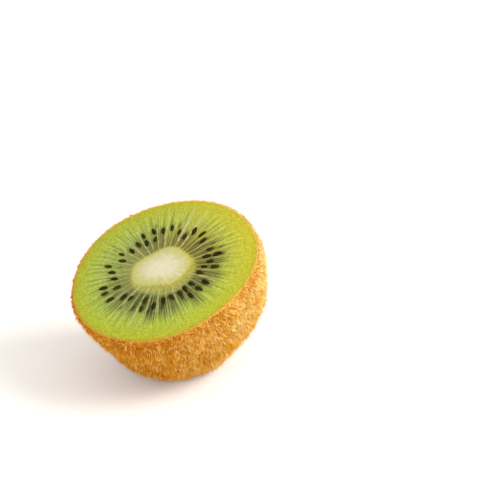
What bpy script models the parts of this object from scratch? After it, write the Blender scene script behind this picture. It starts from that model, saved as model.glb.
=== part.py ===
"""Half a kiwi fruit, cut across its middle, lying on its fuzzy skin with the cut face leaning up and forward.

Pieces: the skin, a thin cup; the green flesh, with its ribs and its ring of seeds; the pale core; and the dried
tuft at the blossom end. Metres, +Z up. The origin is the middle of the small flat spot that the fruit rests on.

Each piece is worked out in the fruit's own frame: the middle of the cut face is its origin, +Z points out of
the face, X runs along the face's longer width, and the blossom end lies down -Z. One empty then leans the fruit.
"""

import math

import bmesh
import bpy
import numpy as np
from mathutils import Matrix, Vector

MM = 0.001

# The fruit, as its outline is seen on the cut face and from the side
FACE_LONG = 52.0 * MM
FACE_SHORT = 49.5 * MM
DEPTH = 33.5 * MM
SIDE_FULLNESS = 2.1
END_FULLNESS = 2.5
AXIS_SKEW = -0.02
SKIN_AT_CUT = 0.7 * MM
SKIN_AT_END = 1.3 * MM
LAYER_GAP = 0.3 * MM

# The dimple at the blossom end, and the dried flower remains that sit in it
DIMPLE_DEPTH = 1.2 * MM
DIMPLE_WIDTH = 8.0 * MM
BUTTON_WIDTH = 3.2 * MM
BUTTON_THICK = 1.0 * MM
STYLES = 9
STYLE_THICK = 0.6 * MM
STYLE_SHORT = 1.2 * MM
STYLE_LONG = 1.8 * MM
STYLE_TILT = math.radians(110.0)
TUFT_DRAW = 4

# The core, an oval spindle a little off the middle of the face
CORE_LONG = 16.0 * MM
CORE_SHORT = 12.6 * MM
CORE_DEPTH = 23.0 * MM
CORE_SHIFT = Vector((-0.4 * MM, 0.3 * MM))
CORE_CROWN = 0.45 * MM

# The chambers round the core that hold the seeds, with a rib between each two
CHAMBERS = 36
RIB_HEIGHT = 0.35 * MM
CHAMBER_REACH = 0.62
FACE_SWELL = 0.5 * MM

# The seeds: mostly one to a chamber, in some chambers two or none
SEED_DRAW = 50485
SEED_LONG = 2.3 * MM
SEED_WIDE = 1.3 * MM
SEED_THICK = 1.1 * MM
SEED_SUNK = 0.1 * MM
NEAREST_SEED = 0.23
FARTHEST_SEED = 0.45
PAIR_SPREAD = 0.03
SIDE_TURN = 0.34
FAR_SIDE_EXTRA = 0.06
FAR_SIDE = math.radians(200.0)
EMPTY_SHARE = 0.08
DOUBLE_SHARE = 0.28

# The pose in which the half lies
LEAN = math.radians(25.0)
LEAN_HEADING = math.radians(224.0)
SPIN = math.radians(-4.0)
FLAT_DEPTH = 0.5 * MM

# The mesh: two steps to a chamber, so that its middle and its rib each have a row of points
STEPS = 2 * CHAMBERS
DOME_RINGS = 18
FACE_RINGS = 11
POCKET_RINGS = 7

COLOURS = {
    "skin": ((0.40, 0.20, 0.06, 1.0), 0.9),
    "flesh": ((0.42, 0.55, 0.07, 1.0), 0.35),
    "core": ((0.80, 0.78, 0.48, 1.0), 0.45),
    "blossom_tuft": ((0.09, 0.05, 0.025, 1.0), 0.95),
}


def clear_scene():
    for old in list(bpy.data.objects):
        bpy.data.objects.remove(old)


def fullness(angle):
    """How far the fruit's side stands out at an angle round its axis: slow, shallow lobes on an oval."""
    return 1 + 0.008 * math.cos(3 * angle - 0.4) + 0.005 * math.cos(5 * angle + 1.0)


def dome_point(angle, share, inset):
    """A point of the fruit's outside, `inset` below it. share runs from 0 at the cut to 1 at the blossom end.

    The section is a superellipse: depth = share x DEPTH, width = (1 - share^END_FULLNESS)^(1/SIDE_FULLNESS).
    The blossom end is dimpled, and the axis leans a little along X.
    """
    width = max(0.0, 1 - share**END_FULLNESS) ** (1 / SIDE_FULLNESS)
    x = (FACE_LONG / 2 - inset) * width * fullness(angle) * math.cos(angle)
    y = (FACE_SHORT / 2 - inset) * width * fullness(angle) * math.sin(angle)
    z = -(DEPTH - inset) * share
    dimple = DIMPLE_DEPTH * math.exp(-4 * (x * x + y * y) / (DIMPLE_WIDTH / 2) ** 2)
    return Vector((x - AXIS_SKEW * z, y, z + dimple))


def skin_wall(share):
    """The skin's thickness, which grows from the cut towards the blossom end."""
    return SKIN_AT_CUT + (SKIN_AT_END - SKIN_AT_CUT) * share


def dome_shares():
    """Ring positions down the dome, from the cut towards the blossom end, closer together at the end."""
    return [math.sin(math.pi / 2 * i / DOME_RINGS) for i in range(DOME_RINGS)]


def core_outline(angle, grow=0.0):
    """The core's soft-cornered oval on the cut face, `grow` wider all round."""
    corners = 1 + 0.04 * math.cos(5 * angle - 0.1) + 0.05 * math.cos(3 * angle - 3.56)
    x = (CORE_LONG / 2 * corners + grow) * math.cos(angle)
    y = (CORE_SHORT / 2 * corners + grow) * math.sin(angle)
    return Vector((CORE_SHIFT.x + x, CORE_SHIFT.y + y))


def core_width(share):
    """The core's width at a share of its depth: nearly straight at first, then drawn in to a blunt point."""
    return (1 - share**2.6) ** 0.5


def face_height(share, step):
    """Height of the flesh's cut face. share runs from 0 at the core to 1 at the skin.

    The face swells slightly between core and skin. Inside CHAMBER_REACH every second step is a chamber, which
    lies below the rib beside it; the difference rises and falls as half a sine wave.
    """
    swell = FACE_SWELL * math.sin(math.pi * share)
    if share >= CHAMBER_REACH or step % 2:
        return swell
    return swell - RIB_HEIGHT * math.sin(math.pi * share / CHAMBER_REACH)


def face_point(angle, share, step):
    """A point of the cut face, on the straight line from the core's outline to the skin's inner edge."""
    inner = core_outline(angle, LAYER_GAP)
    outer = dome_point(angle, 0.0, SKIN_AT_CUT + LAYER_GAP)
    flat = inner.lerp(Vector((outer.x, outer.y)), share)
    return Vector((flat.x, flat.y, face_height(share, step)))


def angles():
    return [math.tau * step / STEPS for step in range(STEPS)]


def add_object(name, bm):
    """Makes the bmesh an object with its own material, shaded smooth with sharp cut edges."""
    bmesh.ops.recalc_face_normals(bm, faces=bm.faces)
    mesh = bpy.data.meshes.new(name)
    bm.to_mesh(mesh)
    bm.free()
    mesh.shade_smooth()
    mesh.set_sharp_from_angle(angle=math.radians(50))
    obj = bpy.data.objects.new(name, mesh)
    bpy.context.scene.collection.objects.link(obj)
    if name in COLOURS:
        colour, roughness = COLOURS[name]
        material = bpy.data.materials.new(name)
        material.use_nodes = True
        shader = material.node_tree.nodes["Principled BSDF"]
        shader.inputs["Base Color"].default_value = colour
        shader.inputs["Roughness"].default_value = roughness
        shader.inputs["Metallic"].default_value = 0.0
        mesh.materials.append(material)
    return obj


def loft(name, top, rings, bottom):
    """A closed body from one pole point, through rings of equal point count, to the other pole point."""
    bm = bmesh.new()
    first = bm.verts.new(top)
    loops = [[bm.verts.new(p) for p in ring] for ring in rings]
    last = bm.verts.new(bottom)
    count = len(loops[0])
    for k in range(count):
        after = (k + 1) % count
        bm.faces.new((first, loops[0][k], loops[0][after]))
        for upper, lower in zip(loops, loops[1:]):
            bm.faces.new((upper[k], lower[k], lower[after], upper[after]))
        bm.faces.new((loops[-1][after], loops[-1][k], last))
    return add_object(name, bm)


def make_skin():
    """The peel: down the inside from its floor to the cut edge, over the edge, and down the outside."""
    inside = [[dome_point(a, s, skin_wall(s)) for a in angles()] for s in reversed(dome_shares())]
    outside = [[dome_point(a, s, 0.0) for a in angles()] for s in dome_shares()]
    inner_pole = dome_point(0.0, 1.0, SKIN_AT_END)
    outer_pole = dome_point(0.0, 1.0, 0.0)
    return loft("skin", inner_pole, inside + outside, outer_pole)


def make_core():
    """The core: a crowned oval top flush with the face, and a spindle that tapers towards the blossom end."""
    middle = Vector((CORE_SHIFT.x, CORE_SHIFT.y))
    crown_steps = (0.35, 0.7, 0.92)
    rings = []
    for share in crown_steps:
        height = CORE_CROWN * (1 - share**2)
        rings.append([middle.lerp(core_outline(a), share).to_3d() + Vector((0, 0, height)) for a in angles()])
    for i in range(POCKET_RINGS):
        share = i / POCKET_RINGS
        width = core_width(share)
        depth = Vector((0, 0, -CORE_DEPTH * share))
        rings.append([middle.lerp(core_outline(a), width).to_3d() + depth for a in angles()])
    top = Vector((middle.x, middle.y, CORE_CROWN))
    return loft("core", top, rings, Vector((middle.x, middle.y, -CORE_DEPTH)))


def make_flesh():
    """The flesh: up the wall of the core's pocket, out over the ribbed cut face, and down inside the skin."""
    middle = Vector((CORE_SHIFT.x, CORE_SHIFT.y))
    pocket_floor = Vector((middle.x, middle.y, -CORE_DEPTH - LAYER_GAP))
    rings = []
    for i in range(POCKET_RINGS - 1, -1, -1):
        share = i / POCKET_RINGS
        width = core_width(share)
        depth = Vector((0, 0, -(CORE_DEPTH + LAYER_GAP) * share))
        rings.append([middle.lerp(core_outline(a, LAYER_GAP), width).to_3d() + depth for a in angles()])
    for i in range(1, FACE_RINGS + 1):
        rings.append([face_point(a, i / FACE_RINGS, step) for step, a in enumerate(angles())])
    for share in dome_shares()[1:]:
        rings.append([dome_point(a, share, skin_wall(share) + LAYER_GAP) for a in angles()])
    return loft("flesh", pocket_floor, rings, dome_point(0.0, 1.0, SKIN_AT_END + LAYER_GAP))


def seed_places():
    """(angle, share of the way from core to skin) of each seed, chamber by chamber.

    A chamber holds one seed anywhere in the ring, or a pair one behind the other, or none. The ring lies a
    little further out on the far side.
    """
    draw = np.random.RandomState(SEED_DRAW)
    places = []
    for chamber in range(CHAMBERS):
        turn, far, count = draw.uniform(0, 1, 3)
        angle = math.tau * (chamber + SIDE_TURN * (turn - 0.5)) / CHAMBERS
        away = FAR_SIDE_EXTRA * math.cos((angle - FAR_SIDE) / 2) ** 2
        if count > 1 - DOUBLE_SHARE:
            places.append((angle, NEAREST_SEED + PAIR_SPREAD * far + away))
            places.append((angle, FARTHEST_SEED - PAIR_SPREAD * far + away))
        elif count > EMPTY_SHARE:
            places.append((angle, NEAREST_SEED + (FARTHEST_SEED - NEAREST_SEED) * far + away))
    return places


def seed_mesh(angle, share):
    """A seed: a flattened drop lying along its chamber, half sunk in the flesh."""
    here = face_point(angle, share, 0)
    outward = face_point(angle, share + 0.02, 0) - here
    bm = bmesh.new()
    size = Matrix.Diagonal((SEED_LONG / 2, SEED_WIDE / 2, SEED_THICK / 2, 1))
    bmesh.ops.create_uvsphere(bm, u_segments=10, v_segments=6, radius=1.0, matrix=size)
    turn = Matrix.Rotation(math.atan2(outward.y, outward.x), 4, "Z")
    middle = Vector((here.x, here.y, face_height(share, 0) - SEED_SUNK))
    bmesh.ops.transform(bm, matrix=Matrix.Translation(middle) @ turn, verts=bm.verts)
    return bm


def join_repeats(body, meshes, label):
    """Joins many small closed shapes to the body in one Boolean union, which is applied."""
    group = bpy.data.collections.new(label)
    bpy.context.scene.collection.children.link(group)
    for number, bm in enumerate(meshes):
        mesh = bpy.data.meshes.new(f"{label}_{number}")
        bmesh.ops.recalc_face_normals(bm, faces=bm.faces)
        bm.to_mesh(mesh)
        bm.free()
        group.objects.link(bpy.data.objects.new(f"{label}_{number}", mesh))
    union = body.modifiers.new("join", "BOOLEAN")
    union.operation = "UNION"
    union.operand_type = "COLLECTION"
    union.collection = group
    with bpy.context.temp_override(object=body, active_object=body):
        bpy.ops.object.modifier_apply(modifier=union.name)
    for helper in list(group.objects):
        bpy.data.objects.remove(helper)
    bpy.data.collections.remove(group)


def make_tuft():
    """The dried flower remains: a low button in the dimple, with a whorl of short withered styles."""
    draw = np.random.RandomState(TUFT_DRAW)
    middle = dome_point(0.0, 1.0, 0.0) - Vector((0, 0, LAYER_GAP + 0.6 * BUTTON_THICK))
    bm = bmesh.new()
    size = Matrix.Diagonal((BUTTON_WIDTH / 2, BUTTON_WIDTH / 2, BUTTON_THICK / 2, 1))
    bmesh.ops.create_uvsphere(bm, u_segments=16, v_segments=8, radius=1.0, matrix=Matrix.Translation(middle) @ size)
    tuft = add_object("blossom_tuft", bm)
    styles = []
    for number in range(STYLES):
        turn, length, tilt = draw.uniform(0, 1, 3)
        angle = math.tau * (number + 0.5 * turn) / STYLES
        style = bmesh.new()
        bmesh.ops.create_cone(
            style,
            cap_ends=True,
            segments=6,
            radius1=STYLE_THICK / 2,
            radius2=STYLE_THICK / 3,
            depth=STYLE_SHORT + (STYLE_LONG - STYLE_SHORT) * length,
        )
        lean = Matrix.Rotation(angle, 4, "Z") @ Matrix.Rotation(STYLE_TILT + math.radians(12 * tilt), 4, "Y")
        foot = Vector((math.cos(angle), math.sin(angle), 0)) * 0.45 * BUTTON_WIDTH
        drop = Vector((0, 0, -0.3 * BUTTON_THICK))
        bmesh.ops.transform(style, matrix=Matrix.Translation(middle + foot + drop) @ lean, verts=style.verts)
        styles.append(style)
    join_repeats(tuft, styles, "style")
    return tuft


def lean_matrix():
    """Turns the fruit's frame about its own axis, then leans its face towards LEAN_HEADING."""
    level = Vector((-math.sin(LEAN_HEADING), math.cos(LEAN_HEADING), 0))
    return Matrix.Rotation(LEAN, 4, level) @ Matrix.Rotation(SPIN, 4, "Z")


def resting_place(turned):
    """The moved origin that puts the middle of the flat spot at (0, 0, 0)."""
    rows = [i / 240 for i in range(241)]
    around = [math.tau * k / 360 for k in range(360)]
    lowest = min((turned @ dome_point(a, s, 0.0) for s in rows for a in around), key=lambda p: p.z)
    return -lowest - Vector((0, 0, FLAT_DEPTH))


def add_flat_spot(skin):
    """Cuts the skin level with the surface it rests on, by a block just under that surface."""
    bm = bmesh.new()
    bmesh.ops.create_cube(bm, size=1.0, matrix=Matrix.Diagonal((60 * MM, 60 * MM, 10 * MM, 1)))
    floor = add_object("floor_cutter", bm)
    floor.location = (0, 0, -5 * MM)
    floor.hide_render = True
    floor.display_type = "WIRE"
    cut = skin.modifiers.new("flat_spot", "BOOLEAN")
    cut.operation = "DIFFERENCE"
    cut.object = floor


def main():
    clear_scene()
    skin, core, flesh = make_skin(), make_core(), make_flesh()
    join_repeats(flesh, [seed_mesh(*place) for place in seed_places()], "seed")
    tuft = make_tuft()
    fruit = bpy.data.objects.new("fruit_axis", None)
    bpy.context.scene.collection.objects.link(fruit)
    turned = lean_matrix()
    fruit.matrix_world = Matrix.Translation(resting_place(turned)) @ turned
    for piece in (skin, core, flesh, tuft):
        piece.parent = fruit
    add_flat_spot(skin)


main()
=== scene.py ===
# %% [markdown]
# # Half a kiwi fruit
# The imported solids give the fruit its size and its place. This script gives it its looks: the cut face with
# its seed chambers and pale rays, the seeds, the core, the peel with its fuzz, and the dried tuft
# underneath. We start by loading the solids, and keep their box, because the finished fruit has to fit in
# it.

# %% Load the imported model
import math

import bpy
import numpy as np
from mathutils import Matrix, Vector


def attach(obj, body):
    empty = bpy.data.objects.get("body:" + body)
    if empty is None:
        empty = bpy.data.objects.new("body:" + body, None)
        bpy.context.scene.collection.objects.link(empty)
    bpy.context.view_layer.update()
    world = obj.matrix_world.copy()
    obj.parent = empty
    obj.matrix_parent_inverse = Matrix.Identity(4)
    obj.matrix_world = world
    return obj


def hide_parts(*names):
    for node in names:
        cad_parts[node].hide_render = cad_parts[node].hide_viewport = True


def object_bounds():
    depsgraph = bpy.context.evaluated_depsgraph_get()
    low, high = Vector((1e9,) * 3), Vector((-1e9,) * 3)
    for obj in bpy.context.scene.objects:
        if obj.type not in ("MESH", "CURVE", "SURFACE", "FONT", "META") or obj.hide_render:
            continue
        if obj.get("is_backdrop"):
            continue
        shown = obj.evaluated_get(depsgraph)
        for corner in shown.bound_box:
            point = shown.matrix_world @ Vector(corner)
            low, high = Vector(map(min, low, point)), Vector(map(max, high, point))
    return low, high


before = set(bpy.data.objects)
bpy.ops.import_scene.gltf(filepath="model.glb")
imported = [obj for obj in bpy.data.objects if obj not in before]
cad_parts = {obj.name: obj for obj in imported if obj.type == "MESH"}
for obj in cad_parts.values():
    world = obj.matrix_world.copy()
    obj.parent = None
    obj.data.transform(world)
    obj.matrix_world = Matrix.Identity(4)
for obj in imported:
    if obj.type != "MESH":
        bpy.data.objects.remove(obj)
cad_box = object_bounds()
MM = 0.001
print("solids:", sorted(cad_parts))
print("box in mm:", [[round(c / MM, 1) for c in corner] for corner in cad_box])

# %% [markdown]
# ## The fruit's own frame
# A fruit that lies at a slant is awkward to draw. So each piece is worked out in the fruit's own frame, as
# if the cut face were level: the middle of the face is the origin, +Z points out of it, and X runs along
# its longer width. One turn and one move then lay the finished points down. The values are those of the
# solids.

# %% Where the fruit's own frame lies
LEAN = math.radians(25.0)
LEAN_HEADING = math.radians(224.0)
SPIN = math.radians(-4.0)
FLAT_DEPTH = 0.5 * MM


def turn_about(axis, angle):
    """The rotation matrix about a unit axis: identity + sin(angle) K + (1 - cos(angle)) K K."""
    x, y, z = axis
    k = np.array([[0, -z, y], [z, 0, -x], [-y, x, 0]])
    return np.eye(3) + math.sin(angle) * k + (1 - math.cos(angle)) * k @ k


lean_axis = (-math.sin(LEAN_HEADING), math.cos(LEAN_HEADING), 0)
turned = turn_about(lean_axis, LEAN) @ turn_about((0, 0, 1), SPIN)

# %% [markdown]
# ## The outline
# The outside is a dome whose section is a superellipse, a curve between an ellipse and a rounded box. Two
# powers set how full its side and its end are. Slow lobes keep it from being a perfect oval, as a grown
# fruit isn't one.

# %% The dome, as a function of an angle and a share of the depth
FACE_LONG = 52.0 * MM
FACE_SHORT = 49.5 * MM
DEPTH = 33.5 * MM
SIDE_FULLNESS = 2.1
END_FULLNESS = 2.5
AXIS_SKEW = -0.02
DIMPLE_DEPTH = 1.2 * MM
DIMPLE_WIDTH = 8.0 * MM


def dome(angle, share, inset=0.0):
    """Points `inset` below the outside, at an angle round the axis and a share of the way from cut to end.

    depth = share x DEPTH and width = (1 - share^END_FULLNESS)^(1 / SIDE_FULLNESS), times slow lobes. A
    bell-shaped dimple is pushed in at the end, and the axis leans a little along X.
    """
    width = np.clip(1 - share**END_FULLNESS, 0, 1) ** (1 / SIDE_FULLNESS)
    lobes = 1 + 0.008 * np.cos(3 * angle - 0.4) + 0.005 * np.cos(5 * angle + 1.0)
    x = (FACE_LONG / 2 - inset) * width * lobes * np.cos(angle)
    y = (FACE_SHORT / 2 - inset) * width * lobes * np.sin(angle)
    z = -(DEPTH - inset) * share + 0 * angle
    dimple = DIMPLE_DEPTH * np.exp(-4 * (x**2 + y**2) / (DIMPLE_WIDTH / 2) ** 2)
    return np.stack([x - AXIS_SKEW * z, y, z + dimple], axis=-1)


around, down = np.meshgrid(np.arange(360) / 360 * math.tau, np.arange(241) / 240)
laid = dome(around, down).reshape(-1, 3) @ turned.T
resting = -laid[laid[:, 2].argmin()] - np.array([0, 0, FLAT_DEPTH])


def lay_down(points):
    """Turns points of the fruit's frame into the row frame, where the fruit rests at z = 0."""
    return points @ turned.T + resting


print("middle of the cut face in mm:", (resting / MM).round(2))

# %% [markdown]
# ## Putting arrays into a mesh
# Most pieces are rings of points carried from one pole to another, like the parallels on a globe. One
# function closes such rings into a body. It also stores marks: a number for each point, such as how much of
# a pale ray lies there, which the materials read later.

# %% Mesh helpers
RIPPLE_WAVES = 28


def put_mesh(name, points, corners, sizes, marks):
    """A mesh object from points (n, 3), the faces' corner numbers in one row, each face's size and marks."""
    mesh = bpy.data.meshes.new(name)
    mesh.vertices.add(len(points))
    mesh.vertices.foreach_set("co", np.asarray(points, np.float32).ravel())
    mesh.loops.add(len(corners))
    mesh.loops.foreach_set("vertex_index", np.asarray(corners, np.int32))
    mesh.polygons.add(len(sizes))
    mesh.polygons.foreach_set("loop_start", (np.cumsum(sizes) - sizes).astype(np.int32))
    mesh.update(calc_edges=True)
    mesh.shade_smooth()
    for mark, values in marks.items():
        layer = mesh.attributes.new(mark, "FLOAT", "POINT")
        layer.data.foreach_set("value", np.asarray(values, np.float32).ravel())
    made = bpy.data.objects.new(name, mesh)
    bpy.context.scene.collection.objects.link(made)
    triangles = int(np.sum(np.asarray(sizes) - 2))
    print(f"{name}: {len(points)} points, {triangles} triangles")
    return made


def ring_faces(rings, steps):
    """Corner numbers and sizes of a closed body: point 0, rings x steps points, and one last point."""
    here = 1 + np.arange(steps)
    after = 1 + (np.arange(steps) + 1) % steps
    row = steps * np.arange(rings - 1)[:, None]
    quads = np.stack([here + row, here + row + steps, after + row + steps, after + row], axis=-1)
    foot = steps * (rings - 1)
    first = np.stack([0 * here, here, after], axis=-1)
    last = np.stack([foot + here, 0 * here + foot + steps + 1, foot + after], axis=-1)
    corners = np.concatenate([first.ravel(), quads.ravel(), last.ravel()])
    sizes = np.concatenate([np.full(steps, 3), np.full(quads.size // 4, 4), np.full(steps, 3)])
    return corners, sizes


def ring_body(name, rings, first, last, marks):
    """A closed body from rings (r, s, 3) and two pole points; marks are arrays of the rings' shape."""
    corners, sizes = ring_faces(*rings.shape[:2])
    points = lay_down(np.concatenate([[first], rings.reshape(-1, 3), [last]]))
    spread = {}
    for mark, values in marks.items():
        values = np.broadcast_to(values, rings.shape[:2])
        spread[mark] = np.concatenate([[values[0].mean()], values.ravel(), [values[-1].mean()]])
    return put_mesh(name, points, corners, sizes, spread)


def unit(vectors):
    """Each vector divided by its own length."""
    return vectors / np.linalg.norm(vectors, axis=-1, keepdims=True)


def ripple(points, shortest, longest, draw_number):
    """Smooth unevenness of about unit size: summed sine waves of random direction, length and start."""
    draw = np.random.RandomState(draw_number)
    direction = unit(draw.normal(size=(RIPPLE_WAVES, points.shape[-1])))
    length = shortest * (longest / shortest) ** draw.uniform(0, 1, RIPPLE_WAVES)
    start = draw.uniform(0, math.tau, RIPPLE_WAVES)
    total = np.zeros(points.shape[:-1])
    for k in range(RIPPLE_WAVES):
        total += np.sin(points @ direction[k] * (math.tau / length[k]) + start[k])
    return total / math.sqrt(RIPPLE_WAVES / 2)


def rise(low, high, value):
    """0 below low, 1 above high, and a smooth S between them."""
    part = np.clip((value - low) / (high - low), 0, 1)
    return part * part * (3 - 2 * part)


# %% [markdown]
# ## The cut face: where things lie
# A kiwi's cut face has a pale oval core, then a ring of about three dozen seed chambers with thin pale
# walls between them, then plain green flesh out to the peel. An angle round the core and a share of the way
# from the core to the peel are the natural coordinates for all of it. The walls aren't quite evenly spaced,
# and each has its own length and paleness, drawn at random from a fixed seed so that every run gives the
# same fruit.

# %% The face's coordinates, chambers and walls
CORE_LONG = 16.0 * MM
CORE_SHORT = 12.6 * MM
CORE_DEPTH = 23.0 * MM
CORE_SHIFT = np.array([-0.4, 0.3]) * MM
PEEL = 0.45 * MM
PEEL_GROWS = 0.8 * MM
CHAMBERS = 36
FACE_SWELL = 0.5 * MM
CHAMBER_SINK = 0.22 * MM
UNDER_FUZZ = 0.8 * MM
UPPER_FLAT_SIDE = math.radians(205.0)
LOWER_FLAT_SIDE = math.radians(322.0)
FLATTER = 1.3 * MM


def flat_flank(angle, share, side, narrow, upper, middle, lower):
    """0 to 1: a flattened flank, strongest at one side and at the middle one of three shares of the depth.

    ((1 + cos(angle from that side)) / 2)^narrow, times a rise to the middle share and a fall after it.
    """
    facing = (0.5 + 0.5 * np.cos(angle - side)) ** narrow
    return facing * rise(upper, middle, share) * (1 - rise(middle, lower, share))


def under_fuzz(angle, share, thickness=0.0):
    """How far under the solid's outside the peel lies: most on the flanks, least at the cut and at the end.

    Two flanks grew a little flatter, one near the cut and one low down, so more is taken off there.
    """
    everywhere = UNDER_FUZZ * rise(0.0, 0.4, share) * (1 - rise(0.6, 0.99, share))
    near_cut = flat_flank(angle, share, UPPER_FLAT_SIDE, 2, 0.0, 0.4, 0.65)
    low_down = flat_flank(angle, share, LOWER_FLAT_SIDE, 4, 0.48, 0.8, 0.98)
    return thickness + everywhere + FLATTER * (near_cut + low_down)


def peel_wall(share):
    """The peel's thickness, which grows from the cut towards the blossom end."""
    return PEEL + PEEL_GROWS * rise(0.5, 0.95, share)


def core_edge(angle):
    """The core's outline: an oval with soft corners, 1 + small cosines of 5 and 3 times the angle."""
    corners = 1 + 0.04 * np.cos(5 * angle - 0.1) + 0.05 * np.cos(3 * angle - 3.56)
    x = CORE_SHIFT[0] + CORE_LONG / 2 * corners * np.cos(angle)
    y = CORE_SHIFT[1] + CORE_SHORT / 2 * corners * np.sin(angle)
    return np.stack([x, y], axis=-1)


def face_place(angle, share):
    """The place on the face on the straight line from the core's outline to the peel's inner edge."""
    inner = core_edge(angle)
    outer = dome(angle, 0.0 * angle, PEEL)[..., :2]
    return inner + np.asarray(share)[..., None] * (outer - inner)


def across_chamber(angle):
    """(number, phase): which chamber an angle is in, and 0 in its middle to 0.5 at its walls."""
    uneven = 0.014 * np.sin(7 * angle + 1.1) + 0.010 * np.sin(11 * angle + 4.0) + 0.006 * np.sin(17 * angle)
    position = (angle + uneven) * CHAMBERS / math.tau
    return position, np.abs(position - np.round(position))


WALL_REACH = (0.45, 0.95)
WALL_WIDTH = (0.05, 0.11)
FAINTEST_WALL = 0.15
GEL_DARKNESS = (0.75, 1.0)
GEL_REACH = (0.46, 0.66)
PALEST_WALLS = [5, 6]
PALEST = 1.2

walls = np.random.RandomState(21)
wall_reach = walls.uniform(*WALL_REACH, CHAMBERS)
wall_paleness = FAINTEST_WALL + (1 - FAINTEST_WALL) * walls.uniform(0, 1, CHAMBERS) ** 2.2
wall_width = walls.uniform(*WALL_WIDTH, CHAMBERS)
wall_reach[PALEST_WALLS] = max(WALL_REACH)
wall_paleness[PALEST_WALLS] = PALEST
chamber_dark = walls.uniform(*GEL_DARKNESS, CHAMBERS)
chamber_reach = walls.uniform(*GEL_REACH, CHAMBERS)
print("walls reach", wall_reach.min().round(2), "to", wall_reach.max().round(2), "of the way to the peel")

# %% [markdown]
# ## Where the seeds lie
# The solids place their seeds by a rule: chamber by chamber, one seed anywhere in the ring, or two, or
# none. The same rule with the same random seed gives the same places here, so each drawn seed lies on its
# solid. Thirty more lie too deep to be cut free, and only show through the gel as soft dark spots.

# %% The seeds' places, by the same rule as the solids
SEED_DRAW = 50485
NEAREST_SEED = 0.23
FARTHEST_SEED = 0.45
PAIR_SPREAD = 0.03
SIDE_TURN = 0.34
FAR_SIDE_EXTRA = 0.06
FAR_SIDE = math.radians(200.0)
EMPTY_SHARE = 0.08
DOUBLE_SHARE = 0.28
DEEP_SEEDS = 30
DEEP_SCATTER = 0.04
DEEP_REACH = (0.26, 0.54)


def seed_places():
    """(angle, share) of each seed, with empty chambers left out."""
    draw = np.random.RandomState(SEED_DRAW)
    places = []
    for chamber in range(CHAMBERS):
        turn, far, count = draw.uniform(0, 1, 3)
        angle = math.tau * (chamber + SIDE_TURN * (turn - 0.5)) / CHAMBERS
        away = FAR_SIDE_EXTRA * math.cos((angle - FAR_SIDE) / 2) ** 2
        if count > 1 - DOUBLE_SHARE:
            places.append((angle, NEAREST_SEED + PAIR_SPREAD * far + away))
            places.append((angle, FARTHEST_SEED - PAIR_SPREAD * far + away))
        elif count > EMPTY_SHARE:
            places.append((angle, NEAREST_SEED + (FARTHEST_SEED - NEAREST_SEED) * far + away))
    return np.array(places)


def spot_and_direction(angle, share):
    """Where seeds lie on the face, and the unit direction outwards from each."""
    spot = face_place(angle, share)
    out = face_place(angle, share + 0.02) - spot
    return spot, unit(out)


seed_angle, seed_share = seed_places().T
seed_spot, seed_out = spot_and_direction(seed_angle, seed_share)
deep_draw = np.random.RandomState(17)
deep_angle = deep_draw.permutation(CHAMBERS)[:DEEP_SEEDS] * math.tau / CHAMBERS
deep_angle += deep_draw.normal(0, DEEP_SCATTER, DEEP_SEEDS)
deep_spot, deep_out = spot_and_direction(deep_angle, deep_draw.uniform(*DEEP_REACH, DEEP_SEEDS))
print(len(seed_angle), "seeds on the face, and", len(deep_spot), "that show through from below")

# %% [markdown]
# ## The marks on the face
# Each feature of the face is one number from 0 to 1 at each point: the pale walls, the dark gel of the
# chambers, the olive ring at the core's edge, the shade round each seed, and fine fibres that run outwards.
# They are worked out from the coordinates alone, and the height of the face comes from the same numbers, so
# a pale wall is a low ridge too.

# %% Marks and height as functions of the coordinates
FIBRE_WAVES = 22
SEED_SHADE = (1.35 * MM, 0.6 * MM)
DEEP_SPOT = (1.0 * MM, 0.42 * MM)


def radial_fibres(angle, share, lowest, highest, draw_number):
    """Streaks that run outwards: summed sine waves, a whole number to the turn, which drift with share."""
    draw = np.random.RandomState(draw_number)
    total = np.zeros(np.broadcast(angle, share).shape)
    for turns in draw.randint(lowest, highest, FIBRE_WAVES):
        start, drift = draw.uniform(0, math.tau), draw.normal(0, 2.2)
        total += np.sin(turns * angle + start + drift * share)
    return total / math.sqrt(FIBRE_WAVES / 2)


def blots(spot, places, outs, length, width):
    """Soft oval spots at the places, drawn out along their own directions: exp(-(along)^2 - (side)^2)."""
    total = np.zeros(spot.shape[:-1])
    for place, out in zip(places, outs):
        step = spot - place
        along = step @ out / length
        side = (step[..., 0] * out[1] - step[..., 1] * out[0]) / width
        total = np.maximum(total, np.exp(-(along**2) - side**2))
    return total


def olive_side(angle):
    """0 to 1: the olive ring is broad below and to the right of the core, and nearly gone above it."""
    return (0.5 - 0.5 * np.sin(angle - 0.2)) ** 3


def left_side(angle):
    """0 to 1: the side to the left of the core, where the chambers are the palest and shortest."""
    return (0.5 + 0.5 * np.cos(angle - 2.9)) ** 6


def gel_strength(angle):
    """How dark the gel is round the core: weaker above the core, and weakest to its left."""
    return 1 - 0.18 * np.maximum(np.sin(angle), 0) - 0.62 * left_side(angle)


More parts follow.
